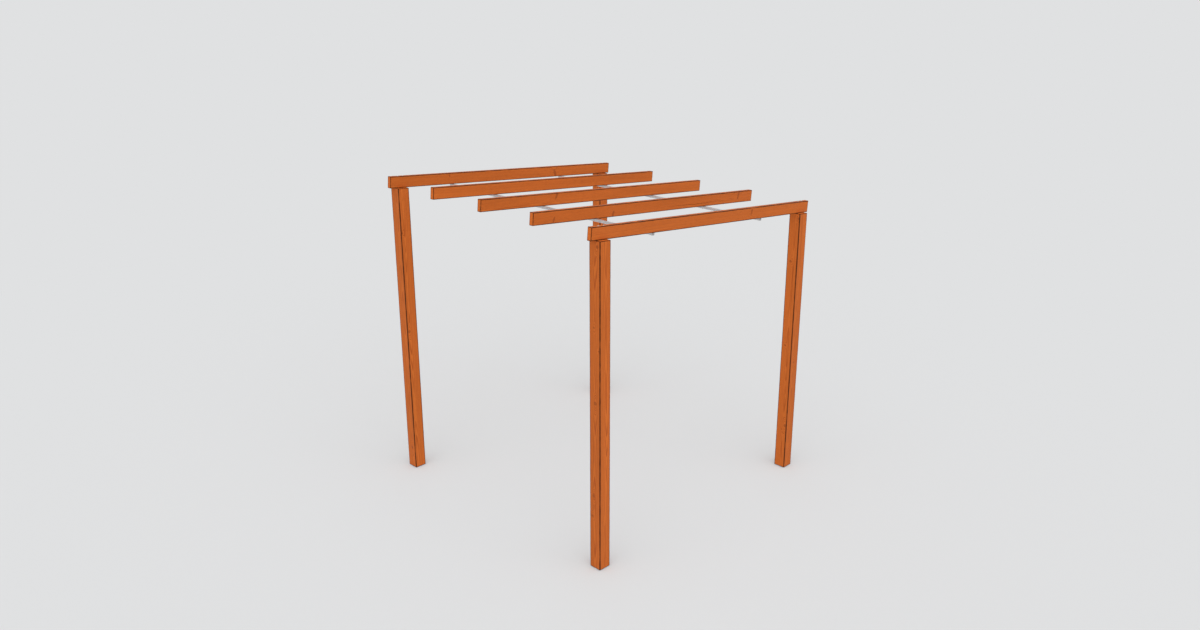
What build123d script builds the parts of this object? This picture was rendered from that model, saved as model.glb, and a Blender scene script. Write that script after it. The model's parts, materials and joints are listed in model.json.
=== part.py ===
"""Open garden pergola with a single pitch: square posts, rafters on edge, and two cross bars that carry the
middle rafters from the outer ones. Millimetres; +X runs down the pitch, +Y to the back, +Z up."""

import math
import os

from build123d import *

# Posts, with their heights at the middle of the cut top
post_side = 98.0
post_spacing_x = 2200.0
post_spacing_y = 2200.0
high_post_height = 2400.0
low_post_height = 2200.0
post_arris_radius = 4.0

# Rafters, with their reach past the outer faces of the posts
rafter_count = 5
rafter_width = 36.0
rafter_depth = 90.0
rafter_overhang = 46.0
rafter_arris_radius = 3.0

# Cross bars of square tube under the rafters, and the caps that close their ends
bar_side = 20.0
bar_wall = 2.0
bar_inner_radius = 1.0
bar_end_setback = 10.0
bar_place_share = 0.25
cap_flange = 2.5
cap_plug_length = 14.0
cap_clearance = 0.2

# Angle brackets that tie the outer rafters down to the posts
bracket_length = 64.0
bracket_upright = 56.0
bracket_thickness = 2.5
bracket_inner_radius = 2.0
bracket_ledge_margin = 3.0

# Feet: a plate under each post, with a pin up into the post
foot_inset = 5.0
foot_thickness = 6.0
foot_corner_radius = 6.0
pin_diameter = 16.0
pin_length = 90.0
pin_clearance = 0.3

# The roof plane holds the rafters' undersides and the post tops
slope = math.atan2(high_post_height - low_post_height, post_spacing_x)
roof = Plane(
    origin=(0, 0, (high_post_height + low_post_height) / 2),
    x_dir=(math.cos(slope), 0, -math.sin(slope)),
    z_dir=(math.sin(slope), 0, math.cos(slope)),
)

# Places on the roof plane: along the pitch, and across the rafters
rafter_length = (post_spacing_x + post_side + 2 * rafter_overhang) / math.cos(slope)
rafter_middle = -rafter_depth / 2 * math.tan(slope)
rafter_spacing = post_spacing_y / (rafter_count - 1)
post_reach = post_spacing_x / 2 / math.cos(slope)
bar_reach = bar_place_share * rafter_length

sides_x = {"left": -1, "right": 1}
sides_y = {"front": -1, "back": 1}
upwards = (Align.CENTER, Align.CENTER, Align.MIN)
from_corner = (Align.MIN, Align.MIN)


def on_roof(shape, along, across, above=0):
    """Lays a shape on the roof plane, turned to the pitch."""
    return roof.location * Pos(along, across, above) * shape


def post():
    """Square post with rounded arrises and a hole up its foot, still too long for any place."""
    blank_length = max(high_post_height, low_post_height) + post_side
    blank = extrude(RectangleRounded(post_side, post_side, post_arris_radius), blank_length)
    hole_radius = (pin_diameter + pin_clearance) / 2
    return blank - Cylinder(hole_radius, pin_length + pin_clearance, align=upwards)


def foot():
    """Plate with rounded corners and a round pin on it."""
    plate_side = post_side - 2 * foot_inset
    plate = extrude(RectangleRounded(plate_side, plate_side, foot_corner_radius), foot_thickness)
    return plate + Pos(0, 0, foot_thickness) * Cylinder(pin_diameter / 2, pin_length, align=upwards)


def rafter():
    """Rafter on edge with square-cut ends and rounded arrises."""
    blank = Box(rafter_length, rafter_width, rafter_depth, align=upwards)
    return fillet(blank.edges().filter_by(Axis.X), rafter_arris_radius)


def bracket():
    """Bent angle: the flat leg lies on the post top, the upright leg against the rafter's back face."""
    ledge = (post_side - rafter_width) / 2
    blank = Rectangle(ledge - bracket_ledge_margin, bracket_upright, align=from_corner)
    profile = blank - Pos(bracket_thickness, bracket_thickness) * blank
    outer_corner = profile.vertices().sort_by_distance((0, 0))[0]
    profile = fillet(outer_corner, bracket_inner_radius + bracket_thickness)
    inner_corner = profile.vertices().sort_by_distance((bracket_thickness, bracket_thickness))[0]
    profile = fillet(inner_corner, bracket_inner_radius)
    return extrude(Plane.YZ * profile, bracket_length / 2, both=True)


def square_bar(side, corner_radius, start, end):
    """Square bar with rounded corners, centred on the Y axis and reaching from start to end along it."""
    profile = Plane.XZ * RectangleRounded(side, side, corner_radius)
    return Pos(0, end, 0) * extrude(profile, end - start)


def write(node, shape):
    """Writes one piece to its own file."""
    export_step(shape, f"parts/{node}.step")


os.makedirs("parts", exist_ok=True)

# Posts on their feet, each cut to the roof plane
for x_name, x_side in sides_x.items():
    for y_name, y_side in sides_y.items():
        x, y = x_side * post_spacing_x / 2, y_side * post_spacing_y / 2
        write(f"{y_name}_{x_name}_foot", Pos(x, y, 0) * foot())
        standing = Pos(x, y, foot_thickness) * post()
        write(f"{y_name}_{x_name}_post", split(standing, bisect_by=roof, keep=Keep.BOTTOM))
        back_face = y + rafter_width / 2
        write(f"{y_name}_{x_name}_bracket", on_roof(bracket(), x_side * post_reach, back_face))

# Rafters from front to back
for number in range(rafter_count):
    across = -post_spacing_y / 2 + number * rafter_spacing
    write(f"rafter_{number + 1}", on_roof(rafter(), rafter_middle, across))

# Cross bars under the rafters, stopped short of the outer faces, with a cap in each end
cap_face = (post_spacing_y + rafter_width) / 2 - bar_end_setback
tube_end = cap_face - cap_flange
plug_side = bar_side - 2 * bar_wall - cap_clearance
for x_name, x_side in sides_x.items():
    along = rafter_middle + x_side * bar_reach
    outer_radius = bar_inner_radius + bar_wall
    tube = square_bar(bar_side, outer_radius, -tube_end, tube_end)
    tube -= square_bar(bar_side - 2 * bar_wall, bar_inner_radius, -tube_end, tube_end)
    write(f"{x_name}_cross_bar", on_roof(tube, along, 0, -bar_side / 2))
    for y_name, y_side in sides_y.items():
        flange = square_bar(bar_side, outer_radius, tube_end, cap_face)
        plug = square_bar(plug_side, bar_inner_radius, tube_end - cap_plug_length, tube_end)
        cap = flange + plug if y_side > 0 else mirror(flange + plug, about=Plane.XZ)
        write(f"{x_name}_cross_bar_{y_name}_cap", on_roof(cap, along, 0, -bar_side / 2))
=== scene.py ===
"""Dresses the pergola: stained softwood posts and rafters with eased arrises, knots and drying checks,
galvanised hardware, screws and a plain studio. Lengths are metres in the frame's axes: +X runs down
the pitch, +Y to the back and +Z up."""

import json
import math
from typing import NamedTuple

import bpy
import numpy as np
from bpy.props import FloatProperty, FloatVectorProperty, PointerProperty
from mathutils import Color, Matrix, Vector


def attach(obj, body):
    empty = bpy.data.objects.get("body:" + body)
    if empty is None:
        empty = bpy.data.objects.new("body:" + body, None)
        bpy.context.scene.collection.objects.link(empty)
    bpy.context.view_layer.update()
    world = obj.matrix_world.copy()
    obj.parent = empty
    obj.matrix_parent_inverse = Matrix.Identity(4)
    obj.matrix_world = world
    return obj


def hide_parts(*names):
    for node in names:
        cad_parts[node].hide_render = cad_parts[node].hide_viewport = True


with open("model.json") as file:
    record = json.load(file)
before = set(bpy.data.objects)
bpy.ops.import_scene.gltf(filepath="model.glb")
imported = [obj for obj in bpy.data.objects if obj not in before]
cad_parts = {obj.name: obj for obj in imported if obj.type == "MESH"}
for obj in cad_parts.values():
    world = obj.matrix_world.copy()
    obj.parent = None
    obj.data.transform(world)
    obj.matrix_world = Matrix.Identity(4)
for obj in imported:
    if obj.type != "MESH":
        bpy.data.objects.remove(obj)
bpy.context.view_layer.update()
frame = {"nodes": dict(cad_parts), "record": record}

bl_info = {
    "name": "Pergola dressing",
    "version": (1, 0, 0),
    "blender": (4, 5, 0),
    "location": "View3D > Sidebar > Pergola",
    "description": "Gives the pergola's frame its stained timber, galvanised hardware, screws and studio",
    "category": "Object",
}

nodes = frame["nodes"]


def nodes_ending(ending):
    """Names of the frame's nodes with this ending."""
    return sorted(name for name in nodes if name.endswith(ending))


posts = nodes_ending("_post")
rafters = sorted(name for name in nodes if name.startswith("rafter_"))
cross_bars = nodes_ending("_cross_bar")
caps = nodes_ending("_cap")
brackets = nodes_ending("_bracket")
feet = nodes_ending("_foot")

# The roof's axes, from the flat top of a rafter: along the pitch, across the rafters, and above them
mounts = {mount["name"]: mount for mount in frame["record"]["mounts"]}
above = Vector(mounts["rafter_1_top_face"]["axis"]).normalized()
across = Vector((0, 1, 0))
along = across.cross(above)
roof_axes = np.array([along, across, above])
upright_axes = np.array([(0, 0, 1), (1, 0, 0), (0, 1, 0)], float)
world_axes = np.identity(3)
pitch = above.x / above.z


def node_points(node, axes):
    """A node's points, measured along three axes."""
    return np.array([vertex.co for vertex in nodes[node].data.vertices]) @ axes.T


def extents(node, axes):
    """Lowest and highest of a node's points along each of three axes."""
    points = node_points(node, axes)
    return points.min(axis=0), points.max(axis=0)


def linear(red, green, blue):
    """A colour as a screen shows it, in 255ths, turned into the light that it stands for."""
    shown = Color((red / 255, green / 255, blue / 255))
    return (*shown.from_srgb_to_scene_linear(), 1.0)


def length_setting(name, description, default):
    """A length that a user may change."""
    return FloatProperty(name=name, description=description, default=default, min=0.0, unit="LENGTH")


def share_setting(name, description, default):
    """A share between none and all."""
    return FloatProperty(
        name=name, description=description, default=default, min=0.0, max=1.0, subtype="FACTOR"
    )


def angle_setting(name, description, degrees):
    """An angle, given in degrees."""
    return FloatProperty(name=name, description=description, default=math.radians(degrees), subtype="ANGLE")


def light_setting(name, description, default):
    """A level of light, where 1 shows a surface in its own colour."""
    return FloatProperty(name=name, description=description, default=default, min=0.0)


def place_setting(name, description, default):
    """A point in the frame."""
    return FloatVectorProperty(name=name, description=description, default=default, subtype="TRANSLATION")


def colour_setting(name, description, red, green, blue):
    """A colour, given as a screen shows it."""
    return FloatVectorProperty(
        name=name, description=description, default=linear(red, green, blue), size=4, subtype="COLOR"
    )


class TimberSettings(bpy.types.PropertyGroup):
    """Sizes and colours of the posts and rafters."""

    post_arris: length_setting("Post arris", "Radius of the posts' eased edges", 0.004)
    rafter_arris: length_setting("Rafter arris", "Radius of the rafters' eased edges", 0.003)
    end_chamfer: length_setting("End chamfer", "Width of the eased edge round each sawn end", 0.001)
    check_width: length_setting("Check width", "Widest opening of a drying check", 0.003)
    check_depth: length_setting("Check depth", "Deepest point of a drying check", 0.010)
    ring_width: length_setting("Ring width", "Distance between two growth rings", 0.0036)
    knot_radius: length_setting("Knot radius", "Radius of a middling knot", 0.009)
    knot_spacing: length_setting("Knot spacing", "Distance between two whorls of branches", 0.62)
    early_wood: colour_setting("Early wood", "Stained colour of the soft spring wood", 206, 108, 43)
    late_wood: colour_setting("Late wood", "Stained colour of the hard summer wood", 169, 78, 26)
    knot_wood: colour_setting("Knots", "Stained colour of the knots", 156, 76, 30)
    # Painted shade deep in the checks and splits, and the real dark colour of the knots' rims
    crack_shade_and_knot_rim: colour_setting("Deep shade", "Colour deep in a check and round a knot", 62, 30, 15)
    arris_shade: share_setting("Arris shade", "How far the stain darkens along the arrises", 0.86)


class HardwareSettings(bpy.types.PropertyGroup):
    """Sizes and colours of the steel, the caps and the screws."""

    zinc: colour_setting("Zinc", "Colour of the galvanised steel", 206, 209, 211)
    screw_zinc: colour_setting("Screws", "Colour of the screws", 190, 188, 182)
    cap_grey: colour_setting("Caps", "Colour of the moulded caps", 160, 162, 164)
    spangle_size: length_setting("Spangle size", "Width of a zinc crystal", 0.008)
    edge_round: length_setting("Edge round", "Rounding of the steel's cut edges", 0.0004)
    screw_radius: length_setting("Screw radius", "Radius of a screw's head", 0.0055)
    screw_height: length_setting("Screw height", "Height of a screw's head", 0.0030)


class StudioSettings(bpy.types.PropertyGroup):
    """Camera, light and floor."""

    backdrop: colour_setting("Backdrop", "Colour of the floor and of what lies behind it", 224, 225, 226)
    shadow_share: share_setting("Shadow", "How much of its shadow the floor shows", 0.8)
    ambient: light_setting("Ambient", "Light from all round", 0.6)
    key: light_setting("Key", "Light from the broad lamp on a face turned to it", 0.55)
    key_spread: angle_setting("Key spread", "Width of the lamp as the object sees it", 90)
    key_from: place_setting("Key from", "A point on the line towards the lamp", (-4.2, -4.8, 7.7))
    camera_place: place_setting("Camera", "Where the camera stands", (-5.6255, -5.6255, 4.1208))
    camera_target: place_setting("Target", "Point that the camera looks at", (0.0, 0.0, 1.3495))
    view_angle: angle_setting("View angle", "Width of the camera's view", 60)


class Field:
    """A number, vector or colour that changes over a surface; arithmetic on it adds maths nodes."""

    def __init__(self, bench, socket):
        self.bench = bench
        self.socket = socket

    def __add__(self, other):
        return self.bench.math("ADD", self, other)

    def __sub__(self, other):
        return self.bench.math("SUBTRACT", self, other)

    def __rsub__(self, other):
        return self.bench.math("SUBTRACT", other, self)

    def __mul__(self, other):
        return self.bench.math("MULTIPLY", self, other)

    def __truediv__(self, other):
        return self.bench.math("DIVIDE", self, other)

    def __rtruediv__(self, other):
        return self.bench.math("DIVIDE", other, self)

    def __abs__(self):
        return self.bench.math("ABSOLUTE", self)

    __radd__ = __add__
    __rmul__ = __mul__


# Places of a mix node's sockets for colours
MIX_SHARE = 0
MIX_FIRST = 6
MIX_SECOND = 7
MIX_RESULT = 2


class NodeBench:
    """Adds nodes to one tree; an input's value may be a number, a vector, a colour or a field."""

    def __init__(self, tree):
        self.tree = tree

    def add(self, kind, values=None, **settings):
        """One node with its settings and its inputs' values."""
        node = self.tree.nodes.new(kind)
        for name, setting in settings.items():
            setattr(node, name, setting)
        for socket, value in (values or {}).items():
            self.put(node.inputs[socket], value)
        return node

    def put(self, socket, value):
        """Gives a socket its value or its link."""
        if isinstance(value, Field):
            self.tree.links.new(value.socket, socket)
        elif socket.type == "VECTOR":
            socket.default_value = value[:3]
        else:
            socket.default_value = value

    def first(self, node):
        """A node's first output."""
        return Field(self, node.outputs[0])

    def outputs(self, node):
        """A node's outputs by their names."""
        return {output.name: Field(self, output) for output in node.outputs}

    def math(self, operation, *values):
        """The result of a sum on numbers."""
        return self.first(self.add("ShaderNodeMath", dict(enumerate(values)), operation=operation))

    def stretch(self, vector, factors):
        """A vector with each of its parts multiplied."""
        return self.first(self.add("ShaderNodeVectorMath", {0: vector, 1: factors}, operation="MULTIPLY"))

    def shift(self, vector, other):
        """Two vectors added."""
        return self.first(self.add("ShaderNodeVectorMath", {0: vector, 1: other}, operation="ADD"))

    def tone(self, colour, factor):
        """A colour, or a vector, multiplied by a number."""
        return self.first(self.add("ShaderNodeVectorMath", {0: colour, "Scale": factor}, operation="SCALE"))

    def parts(self, vector):
        """A vector's three parts."""
        return self.outputs(self.add("ShaderNodeSeparateXYZ", {0: vector})).values()

    def noises(self, vector, cells, detail=2.0, roughness=0.5):
        """Cloudy noise, as a value and a colour, with so many cells in a unit along each part of a vector."""
        place = self.stretch(vector, cells)
        values = {"Vector": place, "Scale": 1.0, "Detail": detail, "Roughness": roughness}
        return self.outputs(self.add("ShaderNodeTexNoise", values)).values()

    def noise(self, *settings, **shape):
        """Cloudy noise as a value between 0 and 1."""
        value, _ = self.noises(*settings, **shape)
        return value

    def draw(self, number):
        """White noise of a number, as a value and a colour."""
        return self.outputs(self.add("ShaderNodeTexWhiteNoise", {"W": number}, noise_dimensions="1D"))

    def ease(self, value, start, end, low=0.0, high=1.0):
        """Smooth step from low, where the value is at start, to high, where it is at end."""
        values = dict(enumerate((value, start, end, low, high)))
        return self.first(self.add("ShaderNodeMapRange", values, interpolation_type="SMOOTHSTEP"))

    def swing(self, value, reach):
        """A factor that goes from 1 less reach to 1 plus reach as the value goes from 0 to 1."""
        return 2 * reach * value + (1 - reach)

    def mix(self, share, first, second):
        """Two colours mixed by a share."""
        values = {MIX_SHARE: share, MIX_FIRST: first, MIX_SECOND: second}
        node = self.add("ShaderNodeMix", values, data_type="RGBA")
        return Field(self, node.outputs[MIX_RESULT])

    def attribute(self, name):
        """A mesh attribute, as a vector and a value."""
        return self.outputs(self.add("ShaderNodeAttribute", attribute_name=name))

    def place(self):
        """The point on the surface, in the frame."""
        return self.outputs(self.add("ShaderNodeTexCoord"))["Object"]

    def group(self, tree, values):
        """A node group with its inputs' values."""
        return self.outputs(self.add("ShaderNodeGroup", values, node_tree=tree))


VECTOR = "NodeSocketVector"
COLOUR = "NodeSocketColor"


def numbers(*labels):
    """Sockets for numbers."""
    return dict.fromkeys(labels, "NodeSocketFloat")


def node_group(name, inputs, outputs, build):
    """A shader node group, built at its first use by a function that turns its inputs into its outputs."""
    made = bpy.data.node_groups.get(name)
    if made:
        return made
    made = bpy.data.node_groups.new(name, "ShaderNodeTree")
    for label, kind in inputs.items():
        made.interface.new_socket(label, in_out="INPUT", socket_type=kind)
    for label, kind in outputs.items():
        made.interface.new_socket(label, in_out="OUTPUT", socket_type=kind)
    bench = NodeBench(made)
    given = bench.outputs(bench.add("NodeGroupInput"))
    bench.add("NodeGroupOutput", build(bench, given))
    return made


# Noise cells in a metre: along the grain, and across and through it
RING_WANDER_CELLS = (0.9, 14, 14)
RING_RIPPLE_CELLS = (7, 90, 90)
STREAK_CELLS = (3, 420, 420)
PORE_CELLS = (28, 1100, 1100)
CLOUD_CELLS = (0.8, 7, 7)
POOL_CELLS = (22, 260, 260)
RUB_CELLS = (11, 60, 60)
SAW_CELLS = (1, 25, 700)
RAGGED_CELLS = (150, 150, 150)
ZINC_CLOUD_CELLS = (18, 18, 18)
CAP_TEXTURE_CELLS = (2200, 2200, 2200)
CAP_CLOUD_CELLS = (60, 60, 60)

FULL_TURN = 2 * math.pi

# A branch: its place in its whorl's stretch, its rise for each metre outward, and its growth from the pith
WHORL_START = 0.25
WHORL_SPREAD = 0.5
BRANCH_RISE = 0.3
BRANCH_GROWTH = (0.0, 0.05, 0.35, 1.0)
BRANCH_START = (0.002, 0.008)

# A knot: its least girth and the spread above it, its ragged edge in metres, its own rings and its splits,
# shown as painted shade
KNOT_LEAST = 0.55
KNOT_SPREAD = 0.9
KNOT_RAGGED = 0.003
KNOT_YEARS = 3.4
KNOT_YEAR_EDGE = (0.0, 0.7)
KNOT_YEAR_RAGGED = 0.6
KNOT_SPLITS = 2.5
KNOT_SPLIT_EDGE = (0.05, 0.3)
KNOT_SPLIT_RAGGED = 5.0

# Shares of a knot's radius between which its edge, its splits, its rim and the rings' swell fade
KNOT_EDGE = (1.12, 0.86)
KNOT_SPLIT_REACH = (0.35, 0.85)
RIM_PLACE = 1.05
RIM_EDGE = (0.24, 0.02)
SWELL_EDGE = (3.2, 0.6)

# The rings' swell reaches further along the grain than across it: what a length along it counts for
SWELL_ALONG = 0.4


def branch_knots():
    """Knots: cones that run out from the pith, one from each whorl along the timber, drawn by chance."""

    def build(bench, given):
        lengthwise, side_a, side_b = bench.parts(given["Grain"])
        whorl = bench.math("FLOOR", lengthwise / given["Spacing"])
        place, turn, size = bench.parts(bench.draw(whorl + given["Draw"])["Color"])
        cosine = bench.math("COSINE", turn * FULL_TURN)
        sine = bench.math("SINE", turn * FULL_TURN)
        out = side_a * cosine + side_b * sine
        aside = side_b * cosine - side_a * sine
        middle = (whorl + WHORL_START + WHORL_SPREAD * place) * given["Spacing"] + BRANCH_RISE * out
        rise = lengthwise - middle
        ragged = bench.noise(given["Grain"], RAGGED_CELLS)
        away = bench.math("SQRT", aside * aside + rise * rise) + KNOT_RAGGED * (ragged - 0.5)
        radius = given["Radius"] * (KNOT_LEAST + KNOT_SPREAD * size) * bench.ease(out, *BRANCH_GROWTH)
        share = away / radius
        along = SWELL_ALONG * rise
        reach = bench.math("SQRT", aside * aside + along * along) / radius
        outward = bench.ease(out, *BRANCH_START)
        knot = bench.ease(share, *KNOT_EDGE) * outward
        years = bench.math("FRACT", KNOT_YEARS * share + KNOT_YEAR_RAGGED * ragged)
        turn_round = bench.math("ARCTAN2", aside, rise)
        # The knot's splits are painted shade: dark radial lines where its lighter rings are left out
        split = abs(bench.math("SINE", KNOT_SPLITS * turn_round + KNOT_SPLIT_RAGGED * ragged))
        unsplit = bench.ease(share, *KNOT_SPLIT_REACH)
        clear_of_split_shade = bench.math("MAXIMUM", bench.ease(split, *KNOT_SPLIT_EDGE), unsplit)
        return {
            "Knot": knot,
            "Heart": knot * bench.ease(years, *KNOT_YEAR_EDGE) * clear_of_split_shade,
            "Rim": bench.ease(abs(share - RIM_PLACE), *RIM_EDGE) * outward,
            "Swell": bench.ease(reach, *SWELL_EDGE) * radius * outward,
        }

    inputs = {"Grain": VECTOR, **numbers("Spacing", "Radius", "Draw")}
    return node_group("branch_knots", inputs, numbers("Knot", "Heart", "Rim", "Swell"), build)


# Rings: the log's taper, how far in metres they stray from true circles, and where in a year late wood grows
LOG_TAPER = 0.005
RING_WANDER = 0.014
RING_RIPPLE = 0.0016
LATE_START = (0.3, 0.86)
LATE_END = (1.0, 0.9)
LATE_LEAST = 0.5


def growth_rings():
    """Late wood in rings round the pith, which follow the taper of the log and swell round its knots."""

    def build(bench, given):
        lengthwise, side_a, side_b = bench.parts(given["Grain"])
        wander = bench.noise(given["Grain"], RING_WANDER_CELLS) - 0.5
        ripple = bench.noise(given["Grain"], RING_RIPPLE_CELLS) - 0.5
        radius = bench.math("SQRT", side_a * side_a + side_b * side_b) - LOG_TAPER * lengthwise
        radius = radius + RING_WANDER * wander + RING_RIPPLE * ripple - given["Swell"]
        years = radius / given["Ring Width"]
        season = bench.math("FRACT", years)
        strength = bench.draw(bench.math("FLOOR", years))["Value"]
        late = bench.ease(season, *LATE_START) * bench.ease(season, *LATE_END)
        return {"Late Wood": late * (LATE_LEAST + (1 - LATE_LEAST) * strength)}

    inputs = {"Grain": VECTOR, **numbers("Swell", "Ring Width")}
    return node_group("growth_rings", inputs, numbers("Late Wood"), build)


PORE_EDGE = (0.6, 0.74)


def wood_fibres():
    """Fine streaks and short open pores along the grain."""

    def build(bench, given):
        pore = bench.noise(given["Grain"], PORE_CELLS, detail=0.0)
        return {
            "Streak": bench.noise(given["Grain"], STREAK_CELLS, detail=3.0, roughness=0.65),
            "Pore": bench.ease(pore, *PORE_EDGE),
        }

    return node_group("wood_fibres", {"Grain": VECTOR}, numbers("Streak", "Pore"), build)


# Stain: how far each mark of the wood lightens or darkens it
STREAK_TONE = 0.18
CLOUD_TONE = 0.18
PORE_SHADE = 0.16
KNOT_COVER = 0.8
KNOT_TONE = 0.68
HEART_TONE = 0.6
RIM_SHADE = 0.25

# Stain that pooled along the arrises, and the spots where it is rubbed thin again
POOL_EDGE = (0.7, 1.15)
RUB_EDGE = (0.52, 0.72)
RUB_SHARE = 0.45

# Roughness of the stain, and what the wood's marks add to its relief
STAIN_ROUGHNESS = 0.5
STREAK_ROUGHNESS = 0.16
LATE_GLOSS = 0.08
LATE_RELIEF = 0.45
PORE_RELIEF = 0.5
KNOT_RELIEF = 0.5
RIM_RELIEF = 0.4


def stain_film():
    """Stain over the wood: its colour, its roughness and the relief of the grain under it, with painted shade
    deep in its checks and splits.
    """

    def build(bench, given):
        grain, late, streak, pore = (given[label] for label in ("Grain", "Late Wood", "Streak", "Pore"))
        knot, heart, rim = (given[label] for label in ("Knot", "Heart", "Rim"))
        cloud = bench.noise(grain, CLOUD_CELLS)
        colour = bench.mix(late, given["Early Colour"], given["Late Colour"])
        tone = bench.swing(streak, STREAK_TONE) * bench.swing(cloud, CLOUD_TONE)
        colour = bench.tone(colour, tone * (1 - PORE_SHADE * pore))
        knotty = bench.tone(given["Knot Colour"], KNOT_TONE + HEART_TONE * heart)
        colour = bench.mix(KNOT_COVER * knot, colour, knotty)
        colour = bench.mix(RIM_SHADE * rim, colour, given["Crack Shade and Rim Colour"])
        pool = given["Arris"] + bench.noise(grain, POOL_CELLS, detail=4.0, roughness=0.65)
        rub = bench.ease(bench.noise(grain, RUB_CELLS, detail=3.0), *RUB_EDGE)
        edge = bench.ease(pool, *POOL_EDGE) * (1 - RUB_SHARE * rub)
        colour = bench.tone(colour, 1 - edge * given["Arris Shade"])
        # Painted shade deep in the checks and splits
        colour = bench.mix(given["Check"], colour, given["Crack Shade and Rim Colour"])
        marks = LATE_RELIEF * late - PORE_RELIEF * pore + KNOT_RELIEF * knot - RIM_RELIEF * rim
        return {
            "Colour": colour,
            "Roughness": STAIN_ROUGHNESS + STREAK_ROUGHNESS * streak - LATE_GLOSS * late,
            "Relief": streak + marks,
        }

    masks = ("Late Wood", "Streak", "Pore", "Knot", "Heart", "Rim", "Arris", "Arris Shade", "Check")
    colours = ("Early Colour", "Late Colour", "Knot Colour", "Crack Shade and Rim Colour")
    inputs = {"Grain": VECTOR, **numbers(*masks), **dict.fromkeys(colours, COLOUR)}
    return node_group("stain_film", inputs, {"Colour": COLOUR, **numbers("Roughness", "Relief")}, build)


# Sawn ends: splits that open from the pith, shown as painted shade and relief, one to a sector, drawn anew
# for ends that lie this far apart
END_SECTORS = 5
SECTOR_START = 0.2
SECTOR_SPREAD = 0.6
END_APART = 2.0
END_DRAW_STEP = 7.3
SPLIT_REACH = 0.075
SPLIT_WIDTH = 0.0008
SPLIT_TAPER = 0.4
SPLIT_RAGGED = 0.003


def sawn_end():
    """Marks of a sawn end: splits that open from the pith, shown as painted shade, and the saw's own lines.
    """

    def build(bench, given):
        lengthwise, side_a, side_b = bench.parts(given["Grain"])
        ragged = bench.noise(given["Grain"], RAGGED_CELLS) - 0.5
        radius = bench.math("SQRT", side_a * side_a + side_b * side_b)
        turn = bench.math("ARCTAN2", side_b, side_a) / FULL_TURN + 0.5
        sector = bench.math("FLOOR", turn * END_SECTORS)
        end = bench.math("FLOOR", lengthwise / END_APART)
        place, reach, _ = bench.parts(bench.draw(sector + END_DRAW_STEP * end)["Color"])
        middle = (sector + SECTOR_START + SECTOR_SPREAD * place) / END_SECTORS
        aside = FULL_TURN * radius * abs(turn - middle) + SPLIT_RAGGED * ragged
        opened = bench.ease(radius / SPLIT_REACH, reach, SPLIT_TAPER * reach)
        return {
            # The split mask darkens the end grain as painted shade, and sinks its relief
            "Split": bench.ease(aside, SPLIT_WIDTH, 0.0) * opened,
            "Saw": bench.noise(given["Grain"], SAW_CELLS, detail=1.0),
        }

    return node_group("sawn_end", {"Grain": VECTOR}, numbers("Split", "Saw"), build)


# Zinc crystals: how far their edges drift in crystals, and how far crystals and clouds change the tone
CRYSTAL_DRIFT_CELLS = (1.3, 1.3, 1.3)
CRYSTAL_DRIFT = 0.5
CRYSTAL_TONE = 0.11
ZINC_CLOUD_TONE = 0.1
CRYSTAL_DULL = 0.4


def zinc_spangle():
    """Crystals of a galvanised skin, each with a tone of its own, under dull clouds."""

    def build(bench, given):
        place = bench.place()
        cells = bench.tone(place, 1 / given["Size"])
        _, drift = bench.noises(cells, CRYSTAL_DRIFT_CELLS)
        drifted = bench.shift(cells, bench.tone(drift, CRYSTAL_DRIFT))
        crystal = bench.outputs(bench.add("ShaderNodeTexVoronoi", {"Vector": drifted, "Scale": 1.0}))
        light, dull, _ = bench.parts(crystal["Color"])
        cloud = bench.noise(place, ZINC_CLOUD_CELLS, detail=4.0)
        return {
            "Tone": bench.swing(light, CRYSTAL_TONE) * bench.swing(cloud, ZINC_CLOUD_TONE),
            "Dull": CRYSTAL_DULL * dull + (1 - CRYSTAL_DULL) * cloud,
            "Relief": crystal["Distance"],
        }

    return node_group("zinc_spangle", numbers("Size"), numbers("Tone", "Dull", "Relief"), build)


BUMP_STRENGTH = 0.5


def surface_material(name, constants=None):
    """A new material with one principled shader; returns the material, its bench and its shader."""
    material = bpy.data.materials.new(name)
    material.use_nodes = True
    material.node_tree.nodes.clear()
    bench = NodeBench(material.node_tree)
    shader = bench.add("ShaderNodeBsdfPrincipled", constants)
    bench.add("ShaderNodeOutputMaterial", {"Surface": bench.first(shader)})
    return material, bench, shader


def finish_surface(bench, shader, colour, roughness, relief, depth):
    """Gives a shader its colour and roughness, and a relief of a given depth."""
    bump = bench.add("ShaderNodeBump", {"Height": relief, "Distance": depth, "Strength": BUMP_STRENGTH})
    bench.put(shader.inputs["Base Color"], colour)
    bench.put(shader.inputs["Roughness"], roughness)
    bench.put(shader.inputs["Normal"], bench.first(bump))


def shared_material(name, make, *values):
    """A material that several pieces wear, made at its first use."""
    return bpy.data.materials.get(name) or make(name, *values)


# Timber: two branches a whorl with draws of their own, a dull stain, and sawn ends that take it unevenly
KNOT_DRAWS = (3.7, 61.3)
STAIN_SPECULAR = 0.1
GRAIN_DEPTH = 0.0006
# Sawn ends a tenth lighter than the planed faces: painted light
END_PAINTED_LIGHT = 1.1
SAW_TONE = 0.15
END_ROUGHNESS = 0.1
SPLIT_RELIEF = 2.0


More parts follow.
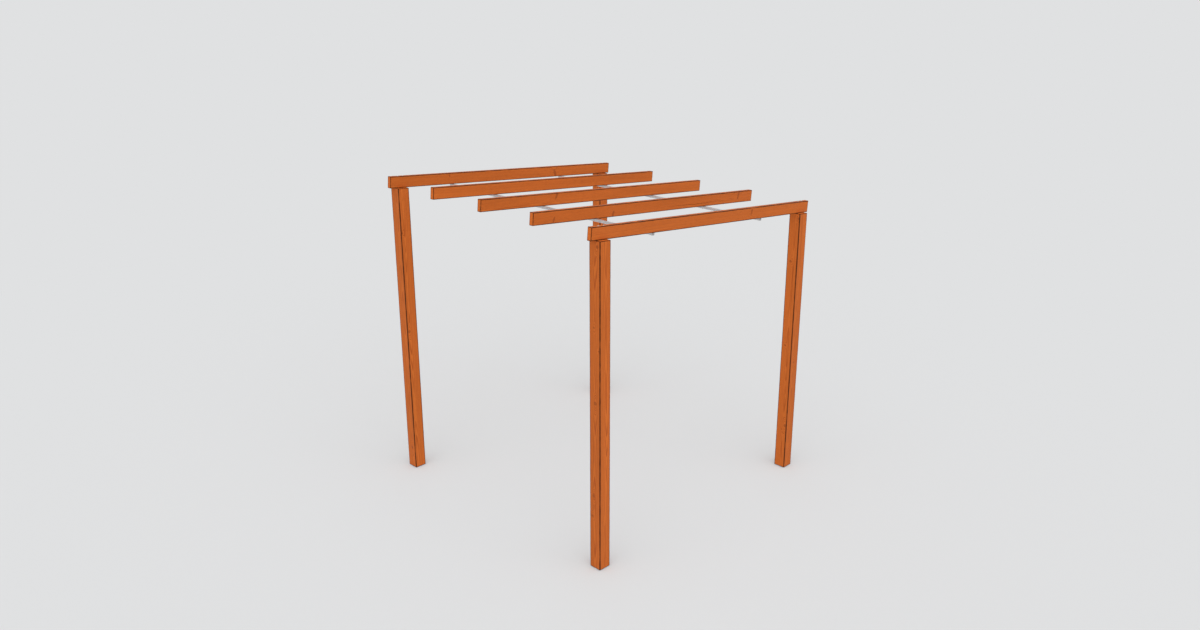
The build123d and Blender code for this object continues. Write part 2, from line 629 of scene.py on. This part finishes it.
def stained_wood(bench, grain, settings, split):
    """Colour, roughness and relief of stained softwood, with painted shade where it has split."""
    whorl = {"Grain": grain, "Spacing": settings.knot_spacing, "Radius": settings.knot_radius}
    one, other = (bench.group(branch_knots(), {**whorl, "Draw": draw}) for draw in KNOT_DRAWS)
    knots = {label: bench.math("MAXIMUM", one[label], other[label]) for label in one}
    rings = {"Grain": grain, "Swell": knots.pop("Swell"), "Ring Width": settings.ring_width}
    film = {
        "Grain": grain,
        **bench.group(growth_rings(), rings),
        **bench.group(wood_fibres(), {"Grain": grain}),
        **knots,
        "Arris": bench.attribute("arris")["Fac"],
        "Arris Shade": settings.arris_shade,
        "Check": split,
        "Early Colour": settings.early_wood,
        "Late Colour": settings.late_wood,
        "Knot Colour": settings.knot_wood,
        "Crack Shade and Rim Colour": settings.crack_shade_and_knot_rim,
    }
    return bench.group(stain_film(), film).values()


def planed_material(name, settings):
    """Stained softwood on a timber's planed faces."""
    material, bench, shader = surface_material(name, {"Specular IOR Level": STAIN_SPECULAR})
    grain = bench.attribute("grain")["Vector"]
    # The check attribute carries the painted shade deep in the checks
    wood = stained_wood(bench, grain, settings, bench.attribute("check")["Fac"])
    finish_surface(bench, shader, *wood, GRAIN_DEPTH)
    return material


def sawn_material(name, settings):
    """Stained softwood on a timber's sawn ends."""
    material, bench, shader = surface_material(name, {"Specular IOR Level": STAIN_SPECULAR})
    grain = bench.attribute("grain")["Vector"]
    end = bench.group(sawn_end(), {"Grain": grain})
    # The splits get painted shade, as the checks do
    colour, roughness, relief = stained_wood(bench, grain, settings, end["Split"])
    # Painted light: the sawn ends are lightened a tenth
    colour = bench.tone(colour, END_PAINTED_LIGHT * bench.swing(end["Saw"], SAW_TONE))
    relief = relief + end["Saw"] - SPLIT_RELIEF * end["Split"]
    finish_surface(bench, shader, colour, roughness + END_ROUGHNESS, relief, GRAIN_DEPTH)
    return material


ZINC_METAL = 0.85
ZINC_ROUGHNESS = 0.4
DULL_ROUGHNESS = 0.3
SPANGLE_DEPTH = 0.00008


def zinc_material(name, colour, spangle_size):
    """Galvanised or zinc-plated steel."""
    material, bench, shader = surface_material(name, {"Metallic": ZINC_METAL})
    spangle = bench.group(zinc_spangle(), {"Size": spangle_size})
    toned = bench.tone(colour, spangle["Tone"])
    roughness = ZINC_ROUGHNESS + DULL_ROUGHNESS * spangle["Dull"]
    finish_surface(bench, shader, toned, roughness, spangle["Relief"], SPANGLE_DEPTH)
    return material


CAP_CLOUD_TONE = 0.07
CAP_ROUGHNESS = 0.4
CAP_TEXTURE_ROUGHNESS = 0.25
CAP_TEXTURE_DEPTH = 0.00015


def cap_material(name, colour):
    """Moulded plastic with a fine even texture."""
    material, bench, shader = surface_material(name)
    texture = bench.noise(bench.place(), CAP_TEXTURE_CELLS)
    cloud = bench.noise(bench.place(), CAP_CLOUD_CELLS, detail=3.0)
    toned = bench.tone(colour, bench.swing(cloud, CAP_CLOUD_TONE))
    roughness = CAP_ROUGHNESS + CAP_TEXTURE_ROUGHNESS * texture
    finish_surface(bench, shader, toned, roughness, texture, CAP_TEXTURE_DEPTH)
    return material


def add_piece(name, mesh, slot, *replaced):
    """Puts a new mesh in the scene as a piece that rides on the frame."""
    piece = bpy.data.objects.new(name, mesh)
    bpy.context.scene.collection.objects.link(piece)
    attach(piece, "root")
    if replaced:
        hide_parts(*replaced)


def smooth_mesh(name, points, faces, crease):
    """A smooth mesh from points and faces, with edges past the crease angle left sharp."""
    mesh = bpy.data.meshes.new(name)
    mesh.from_pydata(points, [], faces)
    mesh.shade_smooth()
    mesh.set_sharp_from_angle(angle=crease)
    return mesh


def tube_values(rings):
    """A tube's values ring by ring, and after them those at the middles of its first and its last ring."""
    middles = rings[[0, -1]].mean(axis=1)
    return np.concatenate([rings.reshape(-1, *rings.shape[2:]), middles])


def tube_faces(rings, columns):
    """Faces between a tube's rings, and after them the fans round the middles of its two ends."""
    index = np.arange(rings * columns).reshape(rings, columns)
    turned = np.roll(index, -1, axis=1)
    strips = np.stack([index[:-1], turned[:-1], turned[1:], index[1:]], axis=-1).reshape(-1, 4)
    first_middle = np.full(columns, index.size)
    last_middle = first_middle + 1
    near = np.stack([first_middle, turned[0], index[0]], axis=-1)
    far = np.stack([last_middle, index[-1], turned[-1]], axis=-1)
    return [*strips.tolist(), *near.tolist(), *far.tolist()]


def add_attribute(mesh, name, kind, values):
    """Stores a value or a vector at each of a mesh's points."""
    label = "vector" if kind == "FLOAT_VECTOR" else "value"
    mesh.attributes.new(name, kind, "POINT").data.foreach_set(label, np.ravel(values))


class Timber(NamedTuple):
    """A timber from its start along the first of its axes; its far end falls away along the second."""

    start: np.ndarray
    axes: np.ndarray
    length: float
    sides: np.ndarray
    fall: float
    arris: float
    pith_reach: tuple
    check_faces: tuple
    check_count: int
    seed: int


# A section's four faces, each with the way it looks and the way round it, in the section's two axes
FACE_OUT = np.array([(1, 0), (0, 1), (-1, 0), (0, -1)], float)
FACE_ROUND = np.array([(0, 1), (-1, 0), (0, -1), (1, 0)], float)

# The mesh: points round an arris, rings along the timber, and the shaded strips beside arrises and ends
ARC_STEPS = 5
RING_SPACING = 0.016
EDGE_MARGIN = 0.004
END_MARGIN = 0.006
TIMBER_CREASE = math.radians(30)

# Faces lie in rows, one to a strip between rings and one to a fan: the rows on the sawn ends
SAWN_ROWS = [0, -3, -2, -1]

# How far an arris, a check's line, its opening and the pith stray, with the lengths of their waves
ARRIS_WAVER = (0.22, (0.5, 0.21, 0.09))
CHECK_WAVER = (0.004, (0.9, 0.37, 0.13))
GAPE_WAVER = (0.6, (0.23, 0.11, 0.05))
PITH_WAVER = (0.006, (2.3, 1.1))

# Checks on one line: their count, the line's place on the half face, and their shares of the timber's length
CHECKS_ON_LINE = 2
CHECK_PLACES = (-0.45, 0.45)
CHECK_LENGTHS = (0.15, 0.38)
CHECK_STARTS = (0.02, 0.95)

# A check: its share of the widest opening, its taper, how soon its painted shade is full, and its half width
# when shut
CHECK_OPENINGS = (0.35, 1.0)
CHECK_TAPER = 0.7
CHECK_SHADE_RISE = 4.0
SHUT_CHECK = 0.00008

# Each timber has a stretch of the grain's own space to itself
GRAIN_STRETCH = 10.0


def waver(places, rng, reach, waves):
    """A slow wander along a timber, at most reach to each side."""
    swings = [np.sin(FULL_TURN * (places / wave + rng.random())) for wave in waves]
    return reach * np.mean(swings, axis=0)


def draw_checks(places, rng, run):
    """Drying checks on one line down a face: the line's place across the face, and how far it is open."""
    line = rng.uniform(*CHECK_PLACES) * run + waver(places, rng, *CHECK_WAVER)
    gape = 1 - np.abs(waver(places, rng, *GAPE_WAVER))
    opening = np.zeros_like(places)
    for _ in range(CHECKS_ON_LINE):
        length = rng.uniform(*CHECK_LENGTHS) * places[-1]
        start = rng.uniform(*CHECK_STARTS) * (places[-1] - length)
        stage = np.clip((places - start) / length, 0, 1)
        opening = np.maximum(opening, rng.uniform(*CHECK_OPENINGS) * np.sin(np.pi * stage) ** CHECK_TAPER)
    return line, opening * gape


def timber_section(timber, places, settings, rng):
    """Columns of points round a timber at each place along it, with their arris masks and the painted shade
    in their checks.
    """
    columns = []
    half = timber.sides / 2
    arrises = [timber.arris * (1 + waver(places, rng, *ARRIS_WAVER)) for _ in FACE_OUT]
    checked = rng.choice(timber.check_faces, timber.check_count, replace=False)

    def column(face, out, run, on_arris=0.0, check_shade=0.0):
        point = np.outer(out, FACE_OUT[face]) + np.outer(run, FACE_ROUND[face])
        columns.append((point, np.full_like(places, on_arris), np.broadcast_to(check_shade, places.shape)))

    for face in range(len(FACE_OUT)):
        reach = np.full_like(places, half[face % 2])
        run = half[(face + 1) % 2]
        arris = arrises[face]
        column(face, reach, arrises[face - 1] + EDGE_MARGIN - run)
        if face in checked:
            line, opening = draw_checks(places, rng, run)
            lip = SHUT_CHECK + opening * settings.check_width / 2
            # Painted shade: the floor of an open check is darkened, the more the wider it opens
            painted_check_shade = np.minimum(1, CHECK_SHADE_RISE * opening)
            column(face, reach, line - lip)
            column(face, reach - opening * settings.check_depth, line, check_shade=painted_check_shade)
            column(face, reach, line + lip)
        column(face, reach, run - arris - EDGE_MARGIN)
        for angle in np.linspace(0, math.pi / 2, ARC_STEPS + 1):
            out = reach - arris * (1 - math.cos(angle))
            column(face, out, run - arris * (1 - math.sin(angle)), on_arris=1.0)
    return [np.stack(values, axis=1) for values in zip(*columns)]


def timber_rings(length, chamfer):
    """Rings of points along a timber: their places, their insets from the faces and their own edge shade.
    The first and the last lie on the sawn ends, inside the edges."""
    near = [(0.0, END_MARGIN, -1.0), (0.0, chamfer, 1.0), (chamfer, 0.0, 1.0), (END_MARGIN, 0.0, 0.0)]
    far = [(length - place, inset, shade) for place, inset, shade in reversed(near)]
    inner = np.linspace(END_MARGIN, length - END_MARGIN, round(length / RING_SPACING))[1:-1]
    return np.array(near + [(place, 0.0, 0.0) for place in inner] + far).T


def timber_mesh(name, timber, settings):
    """A timber's mesh, with the attributes that its grain, its arrises and the painted shade in its checks
    are drawn from.
    Its planed faces take the first of two materials, and its sawn ends the second."""
    rng = np.random.default_rng(timber.seed)
    places, insets, shades = timber_rings(timber.length, settings.end_chamfer)
    section, on_arris, check_shade = timber_section(timber, places, settings, rng)
    section *= 1 - insets[:, None, None] / (timber.sides / 2)
    lengthwise = places[:, None] * (1 - timber.fall * section[..., 0] / timber.length)
    local = np.dstack([lengthwise, section])
    points = timber.start + tube_values(local) @ timber.axes
    rings, columns = lengthwise.shape
    mesh = smooth_mesh(name, points, tube_faces(rings, columns), TIMBER_CREASE)
    sawn = np.zeros((rings + 1, columns), int)
    sawn[SAWN_ROWS] = 1
    mesh.polygons.foreach_set("material_index", sawn.ravel())
    pith = rng.uniform(-1, 1, 2) * timber.pith_reach
    wander = np.stack([centre + waver(places, rng, *PITH_WAVER) for centre in pith], axis=-1)
    grain = local.copy()
    grain[..., 0] += GRAIN_STRETCH * timber.seed
    grain[..., 1:] -= wander[:, None, :]
    add_attribute(mesh, "grain", "FLOAT_VECTOR", tube_values(grain))
    add_attribute(mesh, "arris", "FLOAT", tube_values(np.clip(on_arris + shades[:, None], 0, 1)))
    # check: painted shade deep in the checks
    add_attribute(mesh, "check", "FLOAT", tube_values(check_shade))
    return mesh


def add_timber(node, timber, settings, slot):
    """Puts a timber in the place of its node."""
    mesh = timber_mesh(node + "_timber", timber, settings)
    mesh.materials.append(shared_material("planed_timber", planed_material, settings))
    mesh.materials.append(shared_material("sawn_timber", sawn_material, settings))
    add_piece(node + "_timber", mesh, slot, node)


# Where the pith may lie from a timber's middle, which of its faces have checks, and where its draws start
POST_PITH_REACH = (0.022, 0.022)
POST_CHECK_FACES = (0, 1, 2, 3)
POST_CHECKED = 2
FIRST_POST_SEED = 11
RAFTER_PITH_REACH = (0.016, 0.06)
RAFTER_CHECK_FACES = (0, 2)
RAFTER_CHECKED = 1
FIRST_RAFTER_SEED = 31


class PERGOLA_OT_posts(bpy.types.Operator):
    """Make the posts, each cut to the pitch at its top"""

    bl_idname = "pergola.posts"
    bl_label = "Posts"

    def execute(self, context):
        settings = context.scene.pergola_timber
        for number, node in enumerate(posts):
            low, high = extents(node, world_axes)
            sides = (high - low)[:2]
            timber = Timber(
                start=np.array([*(low + high)[:2] / 2, low[2]]),
                axes=upright_axes,
                length=high[2] - low[2] - pitch * sides[0] / 2,
                sides=sides,
                fall=pitch,
                arris=settings.post_arris,
                pith_reach=POST_PITH_REACH,
                check_faces=POST_CHECK_FACES,
                check_count=POST_CHECKED,
                seed=FIRST_POST_SEED + number,
            )
            add_timber(node, timber, settings, "post_timber")
        return {"FINISHED"}


class PERGOLA_OT_rafters(bpy.types.Operator):
    """Make the rafters, on edge down the pitch"""

    bl_idname = "pergola.rafters"
    bl_label = "Rafters"

    def execute(self, context):
        settings = context.scene.pergola_timber
        for number, node in enumerate(rafters):
            low, high = extents(node, roof_axes)
            middle = (low + high) / 2
            timber = Timber(
                start=np.array([low[0], *middle[1:]]) @ roof_axes,
                axes=roof_axes,
                length=high[0] - low[0],
                sides=(high - low)[1:],
                fall=0.0,
                arris=settings.rafter_arris,
                pith_reach=RAFTER_PITH_REACH,
                check_faces=RAFTER_CHECK_FACES,
                check_count=RAFTER_CHECKED,
                seed=FIRST_RAFTER_SEED + number,
            )
            add_timber(node, timber, settings, "rafter_timber")
        return {"FINISHED"}


EDGE_SEGMENTS = 2
EDGE_CREASE = math.radians(40)


def dress_nodes(names, material, edge_round):
    """Gives nodes of the frame their material, and rounds their cut edges."""
    for name in names:
        piece = nodes[name]
        piece.data.materials.clear()
        piece.data.materials.append(material)
        bevel = piece.modifiers.new("edge_round", "BEVEL")
        bevel.width = edge_round
        bevel.segments = EDGE_SEGMENTS
        bevel.angle_limit = EDGE_CREASE
        bevel.harden_normals = True


def dress_steel(names, settings):
    """Gives nodes of the frame their galvanised skin."""
    skin = shared_material("galvanised_skin", zinc_material, settings.zinc, settings.spangle_size)
    dress_nodes(names, skin, settings.edge_round)


class PERGOLA_OT_cross_bars(bpy.types.Operator):
    """Finish the cross bars under the rafters"""

    bl_idname = "pergola.cross_bars"
    bl_label = "Cross bars"

    def execute(self, context):
        dress_steel(cross_bars, context.scene.pergola_hardware)
        return {"FINISHED"}


class PERGOLA_OT_caps(bpy.types.Operator):
    """Finish the caps in the ends of the cross bars"""

    bl_idname = "pergola.caps"
    bl_label = "Caps"

    def execute(self, context):
        settings = context.scene.pergola_hardware
        plastic = shared_material("moulded_caps", cap_material, settings.cap_grey)
        dress_nodes(caps, plastic, settings.edge_round)
        return {"FINISHED"}


class PERGOLA_OT_brackets(bpy.types.Operator):
    """Finish the angle brackets that tie the outer rafters to the posts"""

    bl_idname = "pergola.brackets"
    bl_label = "Brackets"

    def execute(self, context):
        dress_steel(brackets, context.scene.pergola_hardware)
        return {"FINISHED"}


class PERGOLA_OT_feet(bpy.types.Operator):
    """Finish the plates and pins that the posts stand on"""

    bl_idname = "pergola.feet"
    bl_label = "Feet"

    def execute(self, context):
        dress_steel(feet, context.scene.pergola_hardware)
        return {"FINISHED"}


# A screw's head from its foot to its socket's floor: shares of its radius and height, and the lobes' depth
HEAD_PROFILE = (
    (1.0, -0.1, 0.0),
    (1.0, 0.3, 0.0),
    (0.96, 0.42, 0.0),
    (0.8, 0.66, 0.0),
    (0.66, 0.82, 0.0),
    (0.57, 0.86, 0.0),
    (0.5, 0.86, 0.13),
    (0.47, 0.8, 0.13),
    (0.44, 0.3, 0.13),
)
HEAD_STEPS = 36
HEAD_LOBES = 6
HEAD_CREASE = math.radians(35)
SPIN_STEP = 1.7
SCREW_SPANGLE_SHARE = 1 / 3

# Screws from the middle of a bracket along the pitch, from the free edges of its legs, and from a bar's end
BRACKET_SCREW_ASIDE = 0.019
RAFTER_SCREW_ASIDE = 0.024
FLAT_LEG_EDGE = 0.009
UPRIGHT_LEG_EDGE = 0.016
BAR_END_MARGIN = 0.0145

# Points this near to a leg's free edge lie on it
LEG_EDGE_REACH = 0.0001


def screw_head(radius, height):
    """Points and faces of a round screw head with a lobed socket, standing on the origin along Z."""
    turns = np.linspace(0, FULL_TURN, HEAD_STEPS, endpoint=False)
    rings = []
    for share, rise, lobe in HEAD_PROFILE:
        reach = radius * share * (1 + lobe * np.cos(HEAD_LOBES * turns))
        level = np.full_like(turns, height * rise)
        rings.append(np.stack([reach * np.cos(turns), reach * np.sin(turns), level], axis=-1))
    return tube_values(np.array(rings)), tube_faces(len(rings), HEAD_STEPS)


def add_screws(name, places, settings):
    """One piece with a screw at each place on the roof's axes, its head looking outward."""
    head, head_faces = screw_head(settings.screw_radius, settings.screw_height)
    points, faces = [], []
    for number, (place, outward) in enumerate(places):
        spin = Matrix.Rotation(number * SPIN_STEP, 3, "Z")
        turn = np.array(outward.to_track_quat("Z", "Y").to_matrix() @ spin)
        faces += [[corner + len(points) for corner in face] for face in head_faces]
        points += (head @ turn.T + np.array(place) @ roof_axes).tolist()
    mesh = smooth_mesh(name, points, faces, HEAD_CREASE)
    spangle_size = settings.spangle_size * SCREW_SPANGLE_SHARE
    mesh.materials.append(shared_material("zinc_screws", zinc_material, settings.screw_zinc, spangle_size))
    add_piece(name, mesh, "galvanised_steel")


def leg_thickness(bracket):
    """Thickness of a bracket, at the free edge of the leg on the post."""
    points = node_points(bracket, roof_axes)
    free_edge = points[points[:, 1] > points[:, 1].max() - LEG_EDGE_REACH]
    return np.ptp(free_edge[:, 2])


def bracket_screws(bracket):
    """Screws in a bracket, two to each leg."""
    low, high = extents(bracket, roof_axes)
    thickness = leg_thickness(bracket)
    for aside in (-BRACKET_SCREW_ASIDE, BRACKET_SCREW_ASIDE):
        screw = (low + high)[0] / 2 + aside
        yield (screw, high[1] - FLAT_LEG_EDGE, low[2] + thickness), above
        yield (screw, low[1] + thickness, high[2] - UPRIGHT_LEG_EDGE), across


def rafter_screws(bracket):
    """Two screws down through the rafter that a bracket holds."""
    low, high = extents(bracket, roof_axes)
    boxes = [extents(node, roof_axes) for node in rafters]
    rafter_low, rafter_high = min(boxes, key=lambda box: abs(box[1][1] - low[1]))
    for aside in (-RAFTER_SCREW_ASIDE, RAFTER_SCREW_ASIDE):
        screw = (low + high)[0] / 2 + aside
        yield (screw, (rafter_low + rafter_high)[1] / 2, rafter_high[2]), above


def bar_screws(bar):
    """Screws up through a cross bar, one to a rafter, clear of the caps in its ends."""
    low, high = extents(bar, roof_axes)
    for node in rafters:
        rafter_low, rafter_high = extents(node, roof_axes)
        screw = np.clip((rafter_low + rafter_high)[1] / 2, low[1] + BAR_END_MARGIN, high[1] - BAR_END_MARGIN)
        yield ((low + high)[0] / 2, screw, low[2]), -above


class PERGOLA_OT_screws(bpy.types.Operator):
    """Make the screws in the brackets, down through the outer rafters and under the cross bars"""

    bl_idname = "pergola.screws"
    bl_label = "Screws"

    def execute(self, context):
        settings = context.scene.pergola_hardware
        add_screws("bracket_screws", [screw for node in brackets for screw in bracket_screws(node)], settings)
        add_screws("rafter_screws", [screw for node in brackets for screw in rafter_screws(node)], settings)
        add_screws("cross_bar_screws", [screw for node in cross_bars for screw in bar_screws(node)], settings)
        return {"FINISHED"}


# The floor: a wide disc just under the feet, which fades to the plain backdrop between two distances
FLOOR_REACH = 60.0
FLOOR_STEPS = 96
FLOOR_DROP = 0.0005
FADE_START = 4.0
FADE_END = 9.0

# How far the camera sees, past the floor's rim
CAMERA_CLIP = 200.0


def seen_rays(bench):
    """1 for a ray from the camera, a mirror or glass, and 0 for light on its way."""
    rays = bench.outputs(bench.add("ShaderNodeLightPath"))
    mirrored = bench.math("MAXIMUM", rays["Is Glossy Ray"], rays["Is Transmission Ray"])
    return bench.math("MAXIMUM", rays["Is Camera Ray"], mirrored)


def studio_world(settings):
    """An even light from all round; rays that show the world get the backdrop's colour."""
    world = bpy.data.worlds.new("studio")
    world.use_nodes = True
    world.node_tree.nodes.clear()
    bench = NodeBench(world.node_tree)
    light = (settings.ambient, settings.ambient, settings.ambient, 1.0)
    sky = bench.add("ShaderNodeBackground", {"Color": bench.mix(seen_rays(bench), light, settings.backdrop)})
    bench.add("ShaderNodeOutputWorld", {"Surface": bench.first(sky)})
    return world


def floor_material(settings, light_on_floor):
    """Pale floor that shows a share of its shadows near the object and the plain backdrop further out."""
    material = bpy.data.materials.new("pale_floor")
    material.use_nodes = True
    material.node_tree.nodes.clear()
    bench = NodeBench(material.node_tree)
    pale = [channel / light_on_floor for channel in settings.backdrop[:3]]
    matt = bench.add("ShaderNodeBsdfDiffuse", {"Color": (*pale, 1.0)})
    plain = bench.add("ShaderNodeEmission", {"Color": settings.backdrop})
    length = bench.add("ShaderNodeVectorMath", {0: bench.place()}, operation="LENGTH")
    away = bench.outputs(length)["Value"]
    shown = bench.ease(away, FADE_END, FADE_START, 0.0, settings.shadow_share)
    lit = bench.math("MAXIMUM", 1 - seen_rays(bench), shown)
    top = bench.add("ShaderNodeMixShader", {0: lit, 1: bench.first(plain), 2: bench.first(matt)})
    underside = bench.outputs(bench.add("ShaderNodeNewGeometry"))["Backfacing"]
    clear = bench.add("ShaderNodeBsdfTransparent")
    both = bench.add("ShaderNodeMixShader", {0: underside, 1: bench.first(top), 2: bench.first(clear)})
    bench.add("ShaderNodeOutputMaterial", {"Surface": bench.first(both)})
    return material


def add_floor(material):
    """A flat disc under the feet."""
    turns = np.linspace(0, FULL_TURN, FLOOR_STEPS, endpoint=False)
    level = np.full_like(turns, -FLOOR_DROP)
    rim = np.stack([FLOOR_REACH * np.cos(turns), FLOOR_REACH * np.sin(turns), level], axis=-1)
    mesh = bpy.data.meshes.new("floor")
    mesh.from_pydata(rim, [], [list(range(FLOOR_STEPS))])
    mesh.materials.append(material)
    floor = bpy.data.objects.new("floor", mesh)
    bpy.context.scene.collection.objects.link(floor)


def add_key(settings):
    """A broad soft lamp, far off."""
    lamp = bpy.data.lights.new("soft_key", "SUN")
    lamp.energy = settings.key * math.pi
    lamp.angle = settings.key_spread
    key = bpy.data.objects.new("soft_key", lamp)
    key.rotation_euler = Vector(settings.key_from).to_track_quat("Z", "Y").to_euler()
    bpy.context.scene.collection.objects.link(key)


def add_camera(settings):
    """The scene's camera, level from side to side."""
    lens = bpy.data.cameras.new("camera")
    lens.sensor_fit = "HORIZONTAL"
    lens.angle = settings.view_angle
    lens.clip_end = CAMERA_CLIP
    camera = bpy.data.objects.new("camera", lens)
    camera.location = settings.camera_place
    looking = Vector(settings.camera_target) - Vector(settings.camera_place)
    camera.rotation_euler = looking.to_track_quat("-Z", "Y").to_euler()
    bpy.context.scene.collection.objects.link(camera)
    bpy.context.scene.camera = camera


class PERGOLA_OT_stage(bpy.types.Operator):
    """Make the floor, the light and the camera"""

    bl_idname = "pergola.stage"
    bl_label = "Stage"

    def execute(self, context):
        settings = context.scene.pergola_studio
        context.scene.view_settings.view_transform = "Standard"
        context.scene.world = studio_world(settings)
        light_on_floor = settings.ambient + settings.key * Vector(settings.key_from).normalized().z
        add_floor(floor_material(settings, light_on_floor))
        add_key(settings)
        add_camera(settings)
        return {"FINISHED"}


operators = (
    PERGOLA_OT_posts,
    PERGOLA_OT_rafters,
    PERGOLA_OT_cross_bars,
    PERGOLA_OT_caps,
    PERGOLA_OT_brackets,
    PERGOLA_OT_feet,
    PERGOLA_OT_screws,
    PERGOLA_OT_stage,
)

settings_groups = {
    "pergola_timber": TimberSettings,
    "pergola_hardware": HardwareSettings,
    "pergola_studio": StudioSettings,
}


class PERGOLA_PT_panel(bpy.types.Panel):
    """Lists the pergola's pieces and their settings"""

    bl_idname = "PERGOLA_PT_panel"
    bl_label = "Pergola"
    bl_space_type = "VIEW_3D"
    bl_region_type = "UI"
    bl_category = "Pergola"

    def draw(self, context):
        for operator in operators:
            self.layout.operator(operator.bl_idname)
        for name, group in settings_groups.items():
            box = self.layout.box()
            for label in group.__annotations__:
                box.prop(getattr(context.scene, name), label)


def register():
    """Registers the settings, the operators and the panel."""
    for name, group in settings_groups.items():
        bpy.utils.register_class(group)
        setattr(bpy.types.Scene, name, PointerProperty(type=group))
    for shown in (*operators, PERGOLA_PT_panel):
        bpy.utils.register_class(shown)


def unregister():
    """Takes back what register did."""
    for shown in (PERGOLA_PT_panel, *reversed(operators)):
        bpy.utils.unregister_class(shown)
    for name, group in settings_groups.items():
        delattr(bpy.types.Scene, name)
        bpy.utils.unregister_class(group)


def main():
    """Makes every piece."""
    register()
    for operator in operators:
        prefix, name = operator.bl_idname.split(".")
        getattr(getattr(bpy.ops, prefix), name)()


if __name__ == "__main__":
    main()
